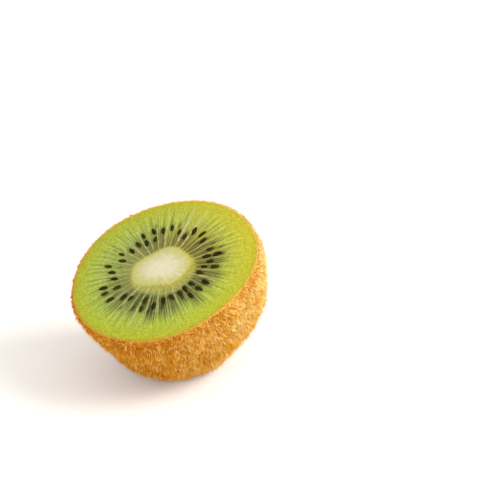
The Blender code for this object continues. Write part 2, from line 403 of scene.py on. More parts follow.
def face_marks(angle, share):
    """All marks at points given by angle and share, as a dictionary of arrays.

    ray: a bell across each wall, which fades towards the wall's reach and is broken here and there.
    thread: the crests of the fine fibres. streak, furrow: crests and troughs of all fibres, beyond the gel.
    gel: fills each chamber from gel_start to gel_end, ragged by the fibres and weaker on the walls.
    ring: a band at the core's edge. shade, deep: soft spots round the seeds and over the deep ones.
    """
    spot = face_place(angle, share)
    wander = 0.002 * ripple(spot, 1.5 * MM, 5 * MM, 5) * rise(0, 0.1, share)
    position, phase = across_chamber(angle + wander)
    wall = np.floor(position).astype(int) % CHAMBERS
    chamber = np.round(position).astype(int) % CHAMBERS
    fine = radial_fibres(angle, share, 90, 230, 7)
    coarse = radial_fibres(angle, share, 30, 90, 8)
    half_width = wall_width[wall] * (1 + 0.8 * share)
    ridge = np.exp(-(((0.5 - phase) / half_width) ** 2))
    fading = 1 - rise(0.4 * wall_reach[wall], wall_reach[wall], share)
    broken = np.clip(0.8 + 0.45 * ripple(spot, 0.7 * MM, 2.5 * MM, 11), 0.2, 1.2)
    ray = ridge * wall_paleness[wall] * fading * rise(0.0, 0.10, share) * broken
    thread = np.clip(fine + 0.4 * coarse - 0.5, 0, 1) * rise(0.05, 0.2, share)
    thread = thread * (1 - rise(0.45, 0.8, share))
    gel_end = chamber_reach[chamber] + 0.04 * coarse - 0.06
    gel_end = gel_end - 0.1 * np.sin(angle) - 0.1 * left_side(angle)
    gel_start = -0.03 + 0.22 * olive_side(angle)
    gel = rise(gel_start, gel_start + 0.08, share + 0.012 * coarse + 0.012 * fine)
    gel = gel * (1 - rise(gel_end - 0.16, gel_end + 0.10, share + 0.02 * fine))
    gel = gel * chamber_dark[chamber] * (1 - 0.6 * ridge) * (0.86 - 0.2 * np.clip(fine, -0.7, 1))
    gel = gel * gel_strength(angle) * rise(0.0, 0.04, share)
    beyond = rise(0.32, 0.45, share) * (1 - rise(0.58, 0.9, share))
    streak = np.clip(0.4 * fine + 0.45 * coarse, 0, 1) * beyond
    furrow = np.clip(-0.3 * fine - 0.65 * coarse, 0, 1) * beyond
    ring = rise(0.0, 0.04, share) * (1 - rise(0.05, 0.15, share + 0.018 * fine))
    ring = ring * (0.1 + 0.9 * olive_side(angle))
    return {
        "share": share,
        "ray": ray,
        "thread": thread,
        "gel": gel,
        "streak": streak,
        "furrow": furrow,
        "ring": ring,
        "shade": blots(spot, seed_spot, seed_out, *SEED_SHADE) * gel_strength(angle),
        "deep": blots(spot, deep_spot, deep_out, *DEEP_SPOT) * gel_strength(angle),
        "ridge": ridge,
        "fine": fine,
        "warm": (0.5 + 0.5 * np.cos(angle - 0.35)) ** 3,
    }


def face_height(spot, marks):
    """Height of the face: a slow swell, sunk chambers between their walls, fibres, and the knife's marks."""
    share = marks["share"]
    zone = rise(0.0, 0.12, share) * (1 - rise(0.42, 0.62, share))
    height = FACE_SWELL * np.sin(math.pi * share)
    height -= CHAMBER_SINK * zone * (1 - marks["ridge"])
    height += 0.008 * MM * marks["fine"] * rise(0.1, 0.4, share)
    return height + 0.025 * MM * ripple(spot, 1.5 * MM, 8 * MM, 9) * rise(0, 0.05, share)


# %% [markdown]
# ## The flesh
# One closed body: up out of the core's pocket, out over the face, and down inside the peel. Only the face
# shows, so it gets most of the rings. Each has 26 points to a chamber, so that a thin wall has a rounded
# back.

# %% Build the flesh
POINTS_TO_A_CHAMBER = 26
STEPS = POINTS_TO_A_CHAMBER * CHAMBERS
FACE_RINGS = 76
POCKET_RINGS = 4
HIDDEN_RINGS = 9
CLOSE = 0.002
GAP = 0.1 * MM

angle = np.arange(STEPS) / STEPS * math.tau
face_share = np.concatenate([[0.0], np.linspace(CLOSE, 1 - CLOSE, FACE_RINGS - 2), [1.0]])
grid_angle, grid_share = np.meshgrid(angle, face_share)
marks = face_marks(grid_angle, grid_share)
place = face_place(grid_angle, grid_share)
face = np.concatenate([place, face_height(place, marks)[..., None]], axis=-1)


def spindle(share, depth, edge):
    """Rings that shrink from an outline to a blunt point: width = sqrt(1 - share^2.6) at share x depth."""
    width = np.sqrt(1 - share**2.6)[:, None, None]
    flat = CORE_SHIFT + width * (edge - CORE_SHIFT)
    fall = np.broadcast_to((-depth * share)[:, None, None], (*flat.shape[:2], 1))
    return np.concatenate([flat, fall], axis=-1)


pocket_share = np.append(np.arange(POCKET_RINGS - 1, 0, -1) / POCKET_RINGS, CLOSE)
pocket = spindle(pocket_share, CORE_DEPTH + GAP, core_edge(angle))
hidden_share = np.append(CLOSE, np.sin(np.linspace(0, math.pi / 2, HIDDEN_RINGS + 1))[1:-1])
hidden_angle, hidden_down = np.meshgrid(angle, hidden_share)
hidden_inset = under_fuzz(hidden_angle, hidden_down, peel_wall(hidden_down) + GAP)
hidden = dome(hidden_angle, hidden_down, hidden_inset)
flesh_rings = np.concatenate([pocket, face, hidden])
flesh_marks = {}
for name, values in marks.items():
    pocket_values = np.full((POCKET_RINGS, STEPS), values[-1].mean())
    hidden_values = np.full((HIDDEN_RINGS, STEPS), values[-1].mean())
    flesh_marks[name] = np.concatenate([pocket_values, values, hidden_values])
pocket_foot = np.array([*CORE_SHIFT, -CORE_DEPTH - GAP])
flesh_foot = dome(np.array(0.0), np.array(1.0), under_fuzz(0.0, 1.0, peel_wall(1.0) + GAP))
flesh = ring_body("flesh_cut", flesh_rings, pocket_foot, flesh_foot, flesh_marks)

# %% [markdown]
# ## The core
# The core is a pale spindle that runs down the middle. Its top is level with the flesh where they meet and
# has the same unevenness, so the eye sees one cut. It crowns slightly in the middle, because a knife drags
# it up.

# %% Build the core
CORE_CROWN = 0.25 * MM
CORE_STEPS = 360
CORE_TOP_RINGS = 40
CORE_SIDE_RINGS = 8

core_angle = np.arange(CORE_STEPS) / CORE_STEPS * math.tau
core_share = np.append(np.linspace(0, 1 - CLOSE, CORE_TOP_RINGS)[1:], 1.0)
top_angle, top_share = np.meshgrid(core_angle, core_share)
edge = core_edge(core_angle)
top_place = CORE_SHIFT + top_share[..., None] * (edge - CORE_SHIFT)
crown = CORE_CROWN * (1 - top_share**2) + 0.015 * MM * ripple(top_place, 1.5 * MM, 6 * MM, 31)
crown *= 1 - rise(0.9, 1.0, top_share)
top = np.concatenate([top_place, crown[..., None]], axis=-1)
side = spindle(np.append(CLOSE, np.arange(1, CORE_SIDE_RINGS) / CORE_SIDE_RINGS), CORE_DEPTH, edge)
core_foot = np.array([*CORE_SHIFT, -CORE_DEPTH])
core_top = np.array([*CORE_SHIFT, CORE_CROWN])
core_fibre = radial_fibres(top_angle, top_share, 12, 70, 33) * rise(0.1, 0.6, top_share)
pad = np.zeros((len(side), CORE_STEPS))
uneven_share = top_share + 0.05 * ripple(top_place, 1.2 * MM, 4 * MM, 35) * (1 - rise(0.9, 1.0, top_share))
greener = (0.6 + 0.4 * np.cos(2 * (top_angle - 0.9))) * rise(0.35, 1.0, top_share)
core_marks = {
    "share": np.concatenate([uneven_share, pad + 1]),
    "fibre": np.concatenate([core_fibre, pad]),
    "blotch": np.concatenate([ripple(top_place, 1.5 * MM, 6 * MM, 34), pad]),
    "greener": np.concatenate([greener, pad]),
}
core = ring_body("core_cut", np.concatenate([top, side]), core_top, core_foot, core_marks)

# %% [markdown]
# ## The seeds
# A seed is a flattened drop: pointed towards the core, where it hung from its thread, and blunt on the
# outside. All seeds are one piece. Each lies in its chamber, sunk to a different depth, because the knife
# met each one at a different place. They are shared arrays: one drop is worked out, and every seed is a
# turned copy of it.

# %% Build the seeds
SEED_LONG = 2.65 * MM
SEED_WIDE = 1.1 * MM
SEED_THICK = 1.0 * MM
SEED_SIZES = (0.88, 1.16)
SEED_LIFT = 0.12 * MM
SEED_SUNK = 0.3 * MM
SEED_SLEW = 0.14
SEED_RINGS = 11
SEED_STEPS = 16

seed_draw = np.random.RandomState(3)
along = (np.arange(SEED_RINGS) + 1) / (SEED_RINGS + 1)
girth = np.sin(math.pi * along**0.8) ** 0.7
turn = np.arange(SEED_STEPS) / SEED_STEPS * math.tau
drop = np.stack(
    [
        np.tile(((along - 0.5) * SEED_LONG)[:, None], (1, SEED_STEPS)),
        girth[:, None] * np.cos(turn) * SEED_WIDE / 2,
        girth[:, None] * np.sin(turn) * SEED_THICK / 2,
    ],
    axis=-1,
).reshape(-1, 3)
tips = np.array([[-0.5 * SEED_LONG, 0, 0], [0.5 * SEED_LONG, 0, 0]])
drop = np.concatenate([tips[:1], drop, tips[1:]])
count = len(seed_angle)
size = seed_draw.uniform(*SEED_SIZES, (count, 1, 1))
sunk = seed_draw.uniform(0.0, SEED_SUNK, count)
slew = seed_draw.normal(0, SEED_SLEW, count)
cos, sin = np.cos(slew), np.sin(slew)
out_x = seed_out[:, 0] * cos - seed_out[:, 1] * sin
out_y = seed_out[:, 0] * sin + seed_out[:, 1] * cos
out = np.stack([out_x, out_y], axis=-1)
left = np.stack([-out[:, 1], out[:, 0]], axis=-1)
copies = drop[None] * size
lengthwise = copies[..., :1] * out[:, None]
widthwise = copies[..., 1:2] * left[:, None]
seed_points = np.empty_like(copies)
seed_points[..., :2] = seed_spot[:, None] + lengthwise + widthwise
seed_floor = face_height(seed_spot, face_marks(seed_angle, seed_share))
seed_points[..., 2] = copies[..., 2] + (seed_floor + SEED_LIFT - sunk)[:, None]
corners, sizes = ring_faces(SEED_RINGS, SEED_STEPS)
corners = (corners + len(drop) * np.arange(count)[:, None]).ravel()
tone = np.repeat(seed_draw.uniform(0, 1, count), len(drop))
seed_points = lay_down(seed_points.reshape(-1, 3))
seeds = put_mesh("seeds", seed_points, corners, np.tile(sizes, count), {"tone": tone})

# %% [markdown]
# ## The peel
# The peel is a thin cup, 0.45 mm thick at the cut and thicker towards the end, where it isn't seen. Its
# outside is slightly lumpy and leathery. The solid's outside stands for the fuzz as well, so the peel lies
# a little under it away from the cut. Where the fruit rests, the peel is pressed level on its own flattened
# fuzz, so no point lies below the surface.

# %% Build the peel
PEEL_STEPS = 240
PEEL_RINGS = 84
PEEL_INNER_RINGS = 12
# The side that faces the key light: the fuzz and the peel's cut edge are painted lighter there, and darker
# away from it.
LIT_SIDE = math.radians(30.0)
LUMP_HEIGHT = 0.10 * MM
WRINKLE_HEIGHT = 0.035 * MM
PEEL_REST = 0.3 * MM
GIVE = 0.3 * MM


def pressed(height, floor_height, give):
    """Heights that level off above a floor.

    A height over floor + give stays. One that is lower by d becomes floor + give x exp(-d / give).
    """
    over = height - floor_height - give
    eased = give * np.exp(np.minimum(over, 0) / give)
    return floor_height + eased + np.maximum(over, 0)


def lumpy(points, share):
    """Points of the outside, pushed in and out by lumps some millimetres wide and by fine wrinkles."""
    lumps = LUMP_HEIGHT * ripple(points, 5 * MM, 16 * MM, 41)
    lumps += WRINKLE_HEIGHT * ripple(points, 0.9 * MM, 3 * MM, 42)
    return points * (1 + (lumps * rise(0, 0.04, share) / (FACE_LONG / 2))[..., None])


peel_angle = np.arange(PEEL_STEPS) / PEEL_STEPS * math.tau
outer_share = np.sin(np.linspace(0, math.pi / 2, PEEL_RINGS + 1))[:-1]
inner_share = np.sin(np.linspace(math.pi / 2, 0, PEEL_INNER_RINGS + 1))[1:]
outer_angle, outer_down = np.meshgrid(peel_angle, outer_share)
inner_angle, inner_down = np.meshgrid(peel_angle, inner_share)
outside = lumpy(dome(outer_angle, outer_down, under_fuzz(outer_angle, outer_down)), outer_down)
inside = dome(inner_angle, inner_down, under_fuzz(inner_angle, inner_down, peel_wall(inner_down)))
peel_rings = np.concatenate([inside, outside])
# The mark called pale is painted light: it is highest on the side that faces the key light.
peel_marks = {
    "outer": np.concatenate([np.zeros(inside.shape[:2]), rise(0.0, 0.03, outer_down)]),
    "pale": 0.5 + 0.5 * np.cos(peel_angle - LIT_SIDE),
}
poles = dome(np.zeros(2), np.ones(2), under_fuzz(0.0, np.ones(2), np.array([peel_wall(1.0), 0.0])))
peel = ring_body("peel", peel_rings, poles[0], poles[1], peel_marks)
peel_points = np.empty(len(peel.data.vertices) * 3, np.float32)
peel.data.vertices.foreach_get("co", peel_points)
peel_points[2::3] = pressed(peel_points[2::3], PEEL_REST, GIVE)
peel.data.vertices.foreach_set("co", peel_points)

# %% [markdown]
# ## The fuzz
# A kiwi's fuzz is short, stiff hair, one to two millimetres long. Hair that is real mesh shows at the
# outline and catches the light. Each hair is a three-sided tapering spike, the smallest closed shape there
# is: short straight ones make the undercoat, and longer ones have a bend. Real hairs are about 0.05 mm
# thick, too fine to show, so these are drawn about three times as thick. Most point away from the cut, and
# they lean together in patches.

# %% Where hairs grow, and which way
UNDERCOAT = {"number": 38000, "shortest": 0.7 * MM, "longest": 1.4 * MM, "slant": 0.75, "bend": 0.0}
LONG_HAIR = {"number": 17500, "shortest": 1.2 * MM, "longest": 2.1 * MM, "slant": 0.95, "bend": 0.35}
STRAY_HAIR = {"number": 4500, "shortest": 1.6 * MM, "longest": 2.3 * MM, "slant": 1.0, "bend": 0.5}
TUFT_EDGE = 0.95
TINY = 0.002
ROOT_DEPTH = 0.12 * MM
SLANT_SCATTER = 0.22
SLANT_LIMITS = (0.15, 1.45)
MIDDLE_TONE = 0.67
TONE_SCATTER = 0.3


def grow_places(number, draw):
    """Random angles and shares, spread evenly over the dome's area: each ring's length times its slant."""
    share = np.sin(np.linspace(0.0, TUFT_EDGE * math.pi / 2, 400))
    ring = np.clip(1 - share**END_FULLNESS, 0, 1) ** (1 / SIDE_FULLNESS)
    slant = np.hypot(np.gradient(ring * FACE_LONG / 2), np.gradient(share * DEPTH))
    area = np.cumsum(ring * slant)
    spread = (np.arange(number) + draw.uniform(0, 1, number)) / number
    return draw.uniform(0, math.tau, number), np.interp(spread * area[-1], area, share)


def grow_frame(angle, share):
    """(root point, outward normal, direction down the dome, direction round it), from small differences."""
    root = lumpy(dome(angle, share, under_fuzz(angle, share)), share)
    downward = dome(angle, np.clip(share + TINY, 0, 1)) - dome(angle, np.clip(share - TINY, 0, 1))
    sideways = dome(angle + TINY, share) - dome(angle - TINY, share)
    normal = np.cross(downward, sideways)
    return root, unit(normal), unit(downward), unit(sideways)


def relative_length(share):
    """How long hairs are: shorter at the cut, longest low down, and very short beside the tuft."""
    near_cut = 0.7 + 0.3 * rise(0.0, 0.2, share)
    low_down = 0.15 * rise(0.7, 0.95, share)
    beside_tuft = 0.65 * rise(0.95, 0.995, share)
    return near_cut + low_down - beside_tuft


def hair_curves(draw, number, shortest, longest, slant, bend):
    """(root, middle, tip, tone) of each hair: it leaves the peel at a slant and bends towards its lean."""
    angle, share = grow_places(number, draw)
    root, normal, downward, sideways = grow_frame(angle, share)
    scatter = 0.6 + 0.9 * (1 - rise(0.0, 0.06, share))
    patch = 0.35 * ripple(root, 3 * MM, 12 * MM, 51) + draw.normal(0, 1, number) * scatter
    lean = np.cos(patch)[:, None] * downward + np.sin(patch)[:, None] * sideways
    stand = np.clip(slant + draw.normal(0, SLANT_SCATTER, number), *SLANT_LIMITS)[:, None]
    length = draw.uniform(shortest, longest, number) * (1 + 0.12 * ripple(root, 2 * MM, 6 * MM, 52))
    length = (length * relative_length(share))[:, None]
    first = np.sin(stand) * normal + np.cos(stand) * lean
    later = np.sin(stand - bend) * normal + np.cos(stand - bend) * lean
    start = root - ROOT_DEPTH * normal
    middle = start + 0.5 * length * first
    tip = middle + 0.5 * length * later
    clump = 0.23 * ripple(root, 0.8 * MM, 1.6 * MM, 54) + 0.07 * ripple(root, 4 * MM, 12 * MM, 53)
    # Painted light and shade in the tone: lighter on the side that faces the key light, darker near the cut
    # away from it, and darker and redder low down towards the floor.
    lit_side_tone = 0.29 * np.cos(angle - LIT_SIDE)
    lit_side_tone -= 0.08 * (1.4 - np.cos(angle - LIT_SIDE)) * (1 - rise(0.0, 0.35, share))
    shade_below = 0.12 * rise(0.2, 0.5, share)
    tone = MIDDLE_TONE + clump + lit_side_tone - shade_below + draw.normal(0, TONE_SCATTER, number)
    return start, middle, tip, np.clip(tone, 0, 1)


# %% Hair meshes
ABOVE_CUT = 0.6 * MM
HAIR_REST = (0.085 * MM, 0.22 * MM)


def keep_off(points, level):
    """Lays hair points down: little above the cut, and pressed to its own level at the resting spot."""
    points[:, 2] = np.minimum(points[:, 2], ABOVE_CUT)
    points = lay_down(points)
    points[:, 2] = pressed(points[:, 2], level, GIVE)
    return points


def hair_ring(centre, axis, radius):
    """Three points round a centre, square to an axis."""
    helper = np.where(np.abs(axis[:, :1]) < 0.7, [[1.0, 0, 0]], [[0, 1.0, 0]])
    across = unit(np.cross(axis, helper))
    other = np.cross(axis, across)
    third = (np.arange(3) * math.tau / 3)[None, :, None]
    offset = np.cos(third) * across[:, None] + np.sin(third) * other[:, None]
    return centre[:, None] + radius * offset


def plant(name, curves, thick, bent):
    """One mesh of closed spikes: three root points, three more half way if it is bent, and a tip."""
    *ends, tone = curves
    level = np.random.RandomState(90).uniform(*HAIR_REST, len(tone))
    start, middle, tip = (keep_off(points, level) for points in ends)
    rings = [hair_ring(start, unit(middle - start), thick / 2)]
    along = [0, 0, 0]
    faces = [[0, 2, 1]]
    if bent:
        rings.append(hair_ring(middle, unit(tip - start), 0.38 * thick))
        along += [0.5, 0.5, 0.5]
        for k in range(3):
            after = (k + 1) % 3
            faces += [[k, after, 3 + after], [k, 3 + after, 3 + k]]
    last = 3 * len(rings)
    top = last - 3
    faces += [[top + k, top + (k + 1) % 3, last] for k in range(3)]
    points = np.concatenate([*rings, tip[:, None]], axis=1)
    corners = np.array(faces).ravel() + (last + 1) * np.arange(len(tip))[:, None]
    marks = {"tone": np.repeat(tone, last + 1), "along": np.tile([*along, 1.0], len(tip))}
    return put_mesh(name, points.reshape(-1, 3), corners.ravel(), np.full(corners.size // 3, 3), marks)


coats = [
    ("fuzz_under_1", 60, UNDERCOAT, 0.16 * MM),
    ("fuzz_under_2", 61, UNDERCOAT, 0.16 * MM),
    ("fuzz_long_1", 70, LONG_HAIR, 0.15 * MM),
    ("fuzz_long_2", 71, LONG_HAIR, 0.15 * MM),
    ("fuzz_stray", 80, STRAY_HAIR, 0.13 * MM),
]
fuzz = []
for name, draw_number, coat, thick in coats:
    curves = hair_curves(np.random.RandomState(draw_number), **coat)
    fuzz.append(plant(name, curves, thick, coat["bend"] > 0))

# %% [markdown]
# ## The dried tuft
# The end that faces the table keeps the remains of the flower: a small dark button in a dimple, with a
# whorl of withered styles. Each style is a tapering tube that curls as it dries, carried along a short
# path.

# %% Build the tuft
STYLES = 16
STYLE_POINTS = 7
STYLE_SIDES = 8
STYLE_FOOT = 1.0 * MM
STYLE_SINK = 0.1 * MM
BUTTON_RADIUS = 1.5 * MM
BUTTON_HALF = 0.5 * MM
BUTTON_SINK = 0.75 * MM
BUTTON_STEPS = 40
BUTTON_RINGS = 16
TUFT_LIFT = 0.05 * MM

tuft_draw = np.random.RandomState(12)
apex = dome(np.array(0.0), np.array(1.0))
button_middle = apex - np.array([0, 0, BUTTON_SINK])
button_turn = np.arange(BUTTON_STEPS) / BUTTON_STEPS * math.tau
button_rise = np.linspace(-math.pi / 2, math.pi / 2, BUTTON_RINGS + 2)[1:-1]
turn_grid, rise_grid = np.meshgrid(button_turn, button_rise)
wrinkle = 1 + 0.09 * np.cos(9 * turn_grid + 2 * rise_grid) + 0.05 * np.cos(14 * turn_grid - 1.0)
button = np.stack(
    [
        BUTTON_RADIUS * wrinkle * np.cos(rise_grid) * np.cos(turn_grid),
        BUTTON_RADIUS * wrinkle * np.cos(rise_grid) * np.sin(turn_grid),
        -BUTTON_HALF * np.sin(rise_grid),
    ],
    axis=-1,
)
button_poles = np.array([[0, 0, BUTTON_HALF], [0, 0, -BUTTON_HALF]])


def style_rings(angle, length, curl, thick):
    """A curling tube: its slope turns by curl from foot to tip, and it thins to a third of its thickness."""
    step = np.linspace(0, 1, STYLE_POINTS)
    slope = -0.25 - curl * step
    reach = np.cumsum(np.cos(slope)) * length / STYLE_POINTS
    drop = np.cumsum(np.sin(slope)) * length / STYLE_POINTS
    radius = thick / 2 * (1 - 0.66 * step)
    side = np.arange(STYLE_SIDES) / STYLE_SIDES * math.tau
    flat = reach[:, None] + STYLE_FOOT - radius[:, None] * np.sin(side) * np.sin(slope)[:, None]
    across = radius[:, None] * np.cos(side)
    height = drop[:, None] - STYLE_SINK + radius[:, None] * np.sin(side) * np.cos(slope)[:, None]
    x = flat * math.cos(angle) - across * math.sin(angle)
    y = flat * math.sin(angle) + across * math.cos(angle)
    return np.stack([x, y, height], axis=-1)


bodies = [(button, button_poles[0], button_poles[1])]
for number in range(STYLES):
    spread, long_share, curl = tuft_draw.uniform(0, 1, 3)
    rings = style_rings(
        angle=math.tau * (number + 0.6 * spread) / STYLES,
        length=(0.9 + 0.7 * long_share) * MM,
        curl=-0.5 + 1.1 * curl,
        thick=(0.34 + 0.12 * long_share) * MM,
    )
    bodies.append((rings, rings[0].mean(axis=0), rings[-1].mean(axis=0)))
tuft_points, tuft_corners, tuft_sizes, offset = [], [], [], 0
for rings, first, last in bodies:
    corners, sizes = ring_faces(*rings.shape[:2])
    points = np.concatenate([[first], rings.reshape(-1, 3), [last]]) + button_middle
    tuft_points.append(points)
    tuft_corners.append(corners + offset)
    tuft_sizes.append(sizes)
    offset += len(points)
tuft_points = lay_down(np.concatenate(tuft_points))
tuft_points[:, 2] = np.maximum(tuft_points[:, 2], TUFT_LIFT)
tuft = put_mesh("dried_tuft", tuft_points, np.concatenate(tuft_corners), np.concatenate(tuft_sizes), {})

# %% [markdown]
# ## Materials
# A colour is written as the hex value that a screen shows, and one function turns it into the linear
# numbers that the renderer counts in. One function adds a node, with its settings and its inputs. Some
# nodes have several sockets of one name, so theirs go by number, and the numbers get names here: how much
# of the second colour a Mix node takes, its two colours and its result, and the two ranges of a MapRange
# node.

# %% Material helpers
AMOUNT, UNDER, OVER, MIXED = 0, 6, 7, 2
FROM_LOW, FROM_HIGH, TO_LOW, TO_HIGH = 1, 2, 3, 4


def linear(code):
    """An sRGB hex value as linear red, green, blue and alpha."""
    values = [int(code[k : k + 2], 16) / 255 for k in (0, 2, 4)]
    return (*[v / 12.92 if v <= 0.04045 else ((v + 0.055) / 1.055) ** 2.4 for v in values], 1.0)


def node(tree, kind, inputs=None, **settings):
    """Adds one node. An input is a number, a colour or another node's output."""
    made = tree.nodes.new("ShaderNode" + kind)
    for name, value in settings.items():
        setattr(made, name, value)
    for name, value in (inputs or {}).items():
        if isinstance(value, bpy.types.NodeSocket):
            tree.links.new(value, made.inputs[name])
        else:
            made.inputs[name].default_value = value
    return made


def new_material(name, shader_values):
    """(material, node tree) with the Principled shader's fixed values set on its own sockets."""
    material = bpy.data.materials.new(name)
    material.use_nodes = True
    shader = material.node_tree.nodes["Principled BSDF"]
    for socket, value in shader_values.items():
        shader.inputs[socket].default_value = value
    return material, material.node_tree


def put_on(pieces, material, colour, bump=None):
    """Links the colour and the bump to the material's shader, and gives the pieces the material."""
    tree = material.node_tree
    shader = tree.nodes["Principled BSDF"]
    tree.links.new(colour, shader.inputs["Base Color"])
    if bump is not None:
        tree.links.new(bump.outputs["Normal"], shader.inputs["Normal"])
    for piece in pieces:
        piece.data.materials.append(material)
    print(f"{material.name}: {len(tree.nodes)} nodes, on", ", ".join(piece.name for piece in pieces))


def spots(size):
    """A pattern's scale from the size of one of its spots: how many of them fit in a metre."""
    return 1 / size


def colour_stops(ramp, stops):
    """Gives a colour ramp its stops, each a place from 0 to 1 and a hex value."""
    for number, (place, code) in enumerate(stops):
        element = ramp.color_ramp.elements[number] if number < 2 else ramp.color_ramp.elements.new(place)
        element.position = place
        element.color = linear(code)


def layered(tree, base, layers):
    """Paints colours over a base one after the other, each as strongly as its mark times a strength."""
    colour = base
    for mark, strength, code in layers:
        mask = node(tree, "Attribute", attribute_name=mark)
        factors = {0: mask.outputs["Fac"], 1: strength}
        amount = node(tree, "Math", factors, operation="MULTIPLY", use_clamp=True)
        colours = {AMOUNT: amount.outputs[0], UNDER: colour, OVER: linear(code)}
        colour = node(tree, "Mix", colours, data_type="RGBA").outputs[MIXED]
    return colour


# %% [markdown]
# ## Flesh: moist fruit tissue, cut with a knife
# Fruit flesh is full of water, so light goes in and comes out a little way off, which softens every edge,
# and the cut surface has a faint wet gloss. The green grows duller from the peel inwards, the chambers are
# dark gel, and the walls between them are pale. The bump is the flesh's large cells, about half a
# millimetre wide.

# %% Flesh material
moist, tree = new_material(
    "moist_green_flesh",
    {
        "Roughness": 0.42,
        "IOR": 1.38,
        "Specular IOR Level": 0.12,
        "Subsurface Weight": 0.4,
        "Subsurface Radius": (0.9, 1.0, 0.25),
        "Subsurface Scale": 0.5 * MM,
    },
)
share = node(tree, "Attribute", attribute_name="share")
ramp = node(tree, "ValToRGB", {"Fac": share.outputs["Fac"]})
stops = [
    (0.0, "ABA66E"),
    (0.07, "93905F"),
    (0.2, "868F50"),
    (0.5, "8C9A4E"),
    (0.72, "98A345"),
    (0.95, "9DA133"),
    (1.0, "A8922A"),
]
colour_stops(ramp, stops)
painted = layered(
    tree,
    ramp.outputs["Color"],
    [
        ("warm", 0.52, "BEAC34"),
        ("furrow", 0.55, "5C7830"),
        ("streak", 0.5, "B4BE72"),
        ("gel", 1.0, "363620"),
        ("thread", 0.5, "9C9678"),
        ("shade", 0.55, "251F0E"),
        ("deep", 0.8, "1A1308"),
        ("ring", 0.6, "A0943C"),
        ("ray", 0.75, "B6AA90"),
    ],
)
where = node(tree, "TexCoord").outputs["Object"]
mottle = node(tree, "TexNoise", {"Vector": where, "Scale": spots(0.6 * MM), "Detail": 4.0})
hue = node(tree, "TexNoise", {"Vector": where, "Scale": spots(1.3 * MM), "Detail": 3.0})
hues = {AMOUNT: hue.outputs["Fac"], UNDER: linear("F2FFE2"), OVER: linear("FFF4D0")}
hued = node(tree, "Mix", hues, data_type="RGBA")
ranges = {FROM_LOW: 0.3, FROM_HIGH: 0.7, TO_LOW: 0.78, TO_HIGH: 1.2}
spread = node(tree, "MapRange", {"Value": mottle.outputs["Fac"], **ranges})
tones = {AMOUNT: 1.0, UNDER: painted, OVER: spread.outputs["Result"]}
toned = node(tree, "Mix", tones, data_type="RGBA", blend_type="MULTIPLY")
tints = {AMOUNT: 1.0, UNDER: toned.outputs[MIXED], OVER: hued.outputs[MIXED]}
tinted = node(tree, "Mix", tints, data_type="RGBA", blend_type="MULTIPLY")
cells = node(tree, "TexVoronoi", {"Vector": where, "Scale": spots(0.4 * MM)})
bump = node(tree, "Bump", {"Height": cells.outputs["Distance"], "Strength": 0.2, "Distance": 0.05 * MM})
put_on([flesh], moist, tinted.outputs[MIXED], bump)

# %% [markdown]
# ## Core: pale pith
# The core is firm, nearly white and a little translucent, warmer in the middle and greener at its edge,
# with faint threads that run outwards.

# %% Core material
pith, tree = new_material(
    "pale_pith",
    {
        "Roughness": 0.42,
        "IOR": 1.38,
        "Specular IOR Level": 0.15,
        "Subsurface Weight": 0.5,
        "Subsurface Radius": (1.0, 0.9, 0.5),
        "Subsurface Scale": 0.6 * MM,
    },
)
share = node(tree, "Attribute", attribute_name="share")
ramp = node(tree, "ValToRGB", {"Fac": share.outputs["Fac"]})
stops = [(0.0, "C6BFA4"), (0.5, "C0B897"), (0.75, "B6B081"), (1.0, "AEA75C")]
colour_stops(ramp, stops)
painted = layered(tree, ramp.outputs["Color"], [("greener", 0.55, "A8A75A"), ("fibre", 0.10, "D5D1BF")])
where = node(tree, "TexCoord").outputs["Object"]
mottle = node(tree, "TexNoise", {"Vector": where, "Scale": spots(1.4 * MM), "Detail": 4.0})
ranges = {FROM_LOW: 0.3, FROM_HIGH: 0.7, TO_LOW: 0.95, TO_HIGH: 1.03}
spread = node(tree, "MapRange", {"Value": mottle.outputs["Fac"], **ranges})
tints = {AMOUNT: 1.0, UNDER: painted, OVER: spread.outputs["Result"]}
tinted = node(tree, "Mix", tints, data_type="RGBA", blend_type="MULTIPLY")
bump = node(tree, "Bump", {"Height": mottle.outputs["Fac"], "Strength": 0.3, "Distance": 0.08 * MM})
put_on([core], pith, tinted.outputs[MIXED], bump)

# %% [markdown]
# ## Seeds: hard, smooth seed coat
# Near black with a brown cast, and a faint sheen of the gel that wets it. The mark called tone says how
# brown each seed is. The coat's pits are drawn a little coarser than real, or they wouldn't show.

# %% Seed material
seed_coat, tree = new_material("seed_coat", {"Roughness": 0.5, "IOR": 1.45, "Specular IOR Level": 0.06})
tone = node(tree, "Attribute", attribute_name="tone")
browns = {AMOUNT: tone.outputs["Fac"], UNDER: linear("1E1A00"), OVER: linear("322900")}
shades = node(tree, "Mix", browns, data_type="RGBA")
where = node(tree, "TexCoord").outputs["Object"]
pits = node(tree, "TexVoronoi", {"Vector": where, "Scale": spots(0.17 * MM)})
bump = node(tree, "Bump", {"Height": pits.outputs["Distance"], "Strength": 0.3, "Distance": 0.04 * MM})
put_on([seeds], seed_coat, shades.outputs[MIXED], bump)
